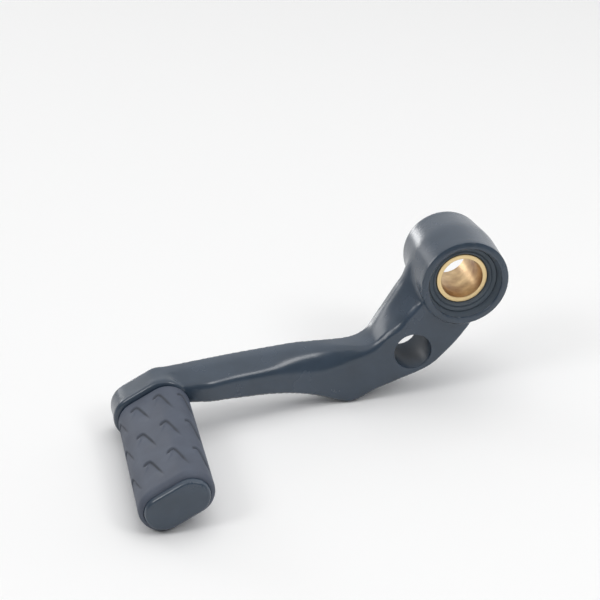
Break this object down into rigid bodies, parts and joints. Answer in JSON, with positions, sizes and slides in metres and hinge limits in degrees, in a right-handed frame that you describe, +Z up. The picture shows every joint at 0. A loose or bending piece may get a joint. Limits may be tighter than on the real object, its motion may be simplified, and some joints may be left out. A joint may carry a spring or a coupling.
{
  "type": "gear shift lever",
  "caption": "Cast motorcycle gear shift lever that swings on a bronze pivot sleeve, with a linkage hole in its web and a patterned rubber toe peg.",
  "frame": {"origin": "centre of the bounding box's bottom face, on the surface the lever lies on", "axes": "+X from the toe peg to the pivot boss, +Y along the pivot axis away from the toe peg's free end, +Z up"},
  "size_m": [0.1234, 0.0842, 0.0524],
  "materials": {
    "satin_black_casting": "aluminium casting under a satin black coat",
    "sintered_bronze": "machined bronze",
    "seal_rubber": "smooth black rubber",
    "grip_rubber": "matte grey-black rubber"
  },
  "bodies": {
    "pivot": {"pivot_sleeve": "sintered_bronze"},
    "lever": {"lever_arm": "satin_black_casting", "front_dust_seal": "seal_rubber", "rear_dust_seal": "seal_rubber", "toe_rubber": "grip_rubber"}
  },
  "joints": [
    {"name": "lever_swing", "type": "hinge", "parent": "pivot", "child": "lever", "pos_m": [0.04747, 0.02885, 0.03823], "axis": [0, 1, 0], "range_deg": [0, 24]}
  ]
}
